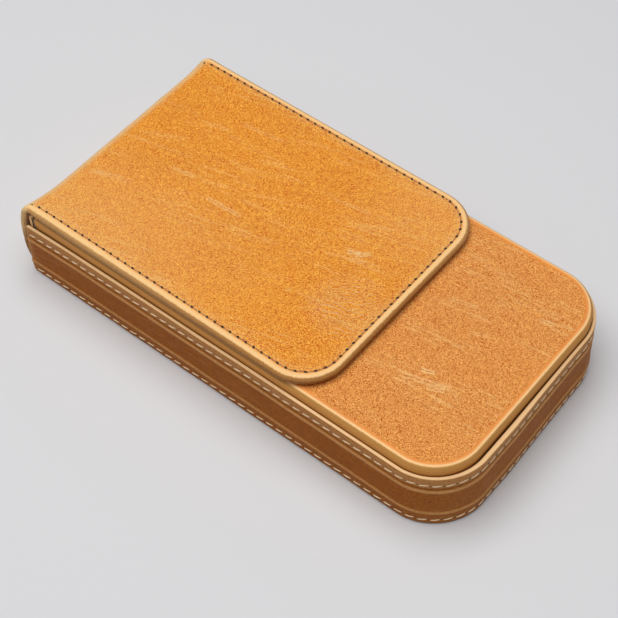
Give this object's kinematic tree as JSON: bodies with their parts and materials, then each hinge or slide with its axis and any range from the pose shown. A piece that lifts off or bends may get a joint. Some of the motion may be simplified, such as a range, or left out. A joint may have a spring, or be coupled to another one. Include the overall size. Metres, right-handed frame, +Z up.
{
  "type": "pen case",
  "caption": "Hard leather case whose padded pen tray slides out of one end, closed by a folding magnetic flap that covers most of the front.",
  "frame": {"origin": "centre of the sleeve's footprint, on the surface it lies on", "axes": "+X from the mouth to the closed end, +Y across the case, +Z up through the front"},
  "size_m": [0.1924, 0.1, 0.0365],
  "materials": {
    "cover_leather": "satin",
    "front_leather": "satin",
    "band_leather": "satin",
    "tray_leather": "satin",
    "flap_lining_leather": "matte",
    "lining_suede": "matte",
    "bed_suede": "matte",
    "core_board": "matte",
    "tray_board": "matte",
    "magnet": "polished"
  },
  "bodies": {
    "case": {"side_band": "band_leather", "near_wall_core": "core_board", "far_wall_core": "core_board", "end_wall_core": "core_board", "front_cover": "front_leather", "front_board": "core_board", "front_lining": "lining_suede", "back_cover": "cover_leather", "back_board": "core_board", "back_lining": "lining_suede", "wall_lining": "lining_suede", "case_magnets": "magnet"},
    "tray": {"tray_front_leather": "tray_leather", "tray_front_board": "core_board", "tray_front_lining": "lining_suede", "tray_pull_tab": "tray_leather", "tray_base": "tray_board", "tray_near_rail": "tray_board", "tray_far_rail": "tray_board", "tray_end_wall": "tray_board", "pen_bed": "bed_suede", "slot_dividers": "bed_suede"},
    "flap_spine": {"spine_leather": "cover_leather", "spine_lining": "flap_lining_leather"},
    "flap": {"flap_leather": "cover_leather", "flap_board": "core_board", "flap_magnets": "magnet", "flap_lining": "flap_lining_leather"}
  },
  "joints": [
    {"name": "flap_spine_hinge", "type": "hinge", "parent": "case", "child": "flap_spine", "pos_m": [-0.0948, 0, 0.0038], "axis": [0, -1, 0], "range_deg": [0, 90], "deforming": ["spine_leather", "spine_lining"]},
    {"name": "flap_front_hinge", "type": "hinge", "parent": "flap_spine", "child": "flap", "pos_m": [-0.0922, 0, 0.0302], "axis": [0, -1, 0], "range_deg": [0, 90], "deforming": ["spine_leather", "spine_lining"]},
    {"name": "tray_slide", "type": "slide", "parent": "case", "child": "tray", "axis": [-1, 0, 0], "range_m": [0, 0.218]}
  ]
}
